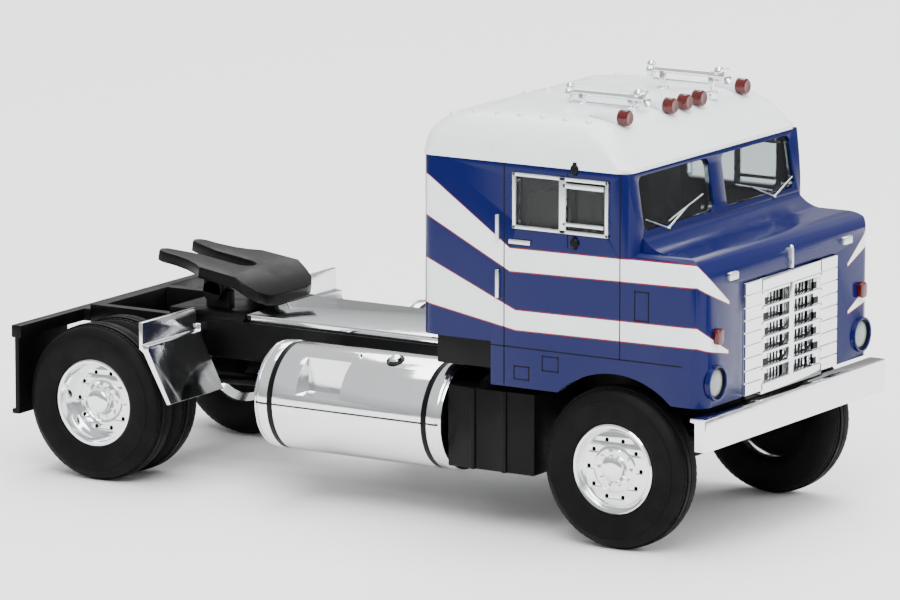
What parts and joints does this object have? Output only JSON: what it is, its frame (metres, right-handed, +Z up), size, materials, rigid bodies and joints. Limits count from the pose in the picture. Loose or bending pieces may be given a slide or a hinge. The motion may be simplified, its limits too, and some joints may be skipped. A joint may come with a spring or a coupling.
{
  "type": "scale model cab-over tractor unit",
  "caption": "Small plastic model of a snub-nosed cab-over tractor unit with sleeper, side tanks, rolling wheels and a tilting coupling plate.",
  "frame": {"origin": "on the ground, under the middle of the bounding box", "axes": "+X forward, +Y to the driver's left, +Z up"},
  "size_m": [0.0636, 0.028, 0.0345],
  "materials": {
    "blue_shell": "gloss moulded plastic",
    "white_shell": "gloss moulded plastic",
    "black_chassis": "satin moulded plastic",
    "grey_interior": "matt moulded plastic",
    "chrome_plate": "vacuum plated plastic",
    "silver_print": "silver print",
    "clear": "clear moulded plastic",
    "lamp_clear": "clear lens over silver",
    "lamp_red": "red painted lens",
    "tyre_rubber": "matt soft plastic",
    "axle_steel": "drawn wire"
  },
  "bodies": {
    "truck": {"cab_body": "blue_shell", "cab_roof": "white_shell", "windscreen": "clear", "side_glass": "clear", "window_frames": "silver_print", "cab_floor": "black_chassis", "seats": "grey_interior", "bunk": "grey_interior", "dashboard": "grey_interior", "steering_wheel": "black_chassis", "grille": "chrome_plate", "front_bumper": "chrome_plate", "headlamps": "lamp_clear", "corner_lamps": "lamp_red", "turn_lamps": "silver_print", "roof_lamps": "lamp_red", "air_horn_right": "chrome_plate", "air_horn_left": "chrome_plate", "side_handles": "silver_print", "chassis_frame": "black_chassis", "engine_block": "black_chassis", "drive_shaft": "black_chassis", "rear_axle_housing": "black_chassis", "rear_springs": "black_chassis", "front_axle_beam": "black_chassis", "front_springs": "black_chassis", "deck_plate": "chrome_plate", "fuel_tank_right": "chrome_plate", "fuel_tank_left": "chrome_plate", "tank_straps_right": "black_chassis", "tank_straps_left": "black_chassis", "battery_box_right": "black_chassis", "battery_box_left": "black_chassis", "quarter_fender_right": "chrome_plate", "quarter_fender_left": "chrome_plate", "rear_mudflaps": "black_chassis", "coupling_base": "black_chassis"},
    "front_wheels": {"front_axle_pin": "axle_steel", "front_tyres": "tyre_rubber", "front_rims": "chrome_plate"},
    "rear_wheels": {"rear_axle_pin": "axle_steel", "rear_tyres": "tyre_rubber", "rear_rims": "chrome_plate"},
    "coupling": {"coupling_plate": "black_chassis"}
  },
  "joints": [
    {"name": "front_axle_roll", "type": "hinge", "parent": "truck", "child": "front_wheels", "pos_m": [0.02315, 0, 0.00627], "axis": [0, 1, 0], "continuous": true},
    {"name": "rear_axle_roll", "type": "hinge", "parent": "truck", "child": "rear_wheels", "pos_m": [-0.02435, 0, 0.00627], "axis": [0, 1, 0], "continuous": true},
    {"name": "coupling_tilt", "type": "hinge", "parent": "truck", "child": "coupling", "pos_m": [-0.01915, 0, 0.0143], "axis": [0, -1, 0], "range_deg": [0, 16]}
  ]
}
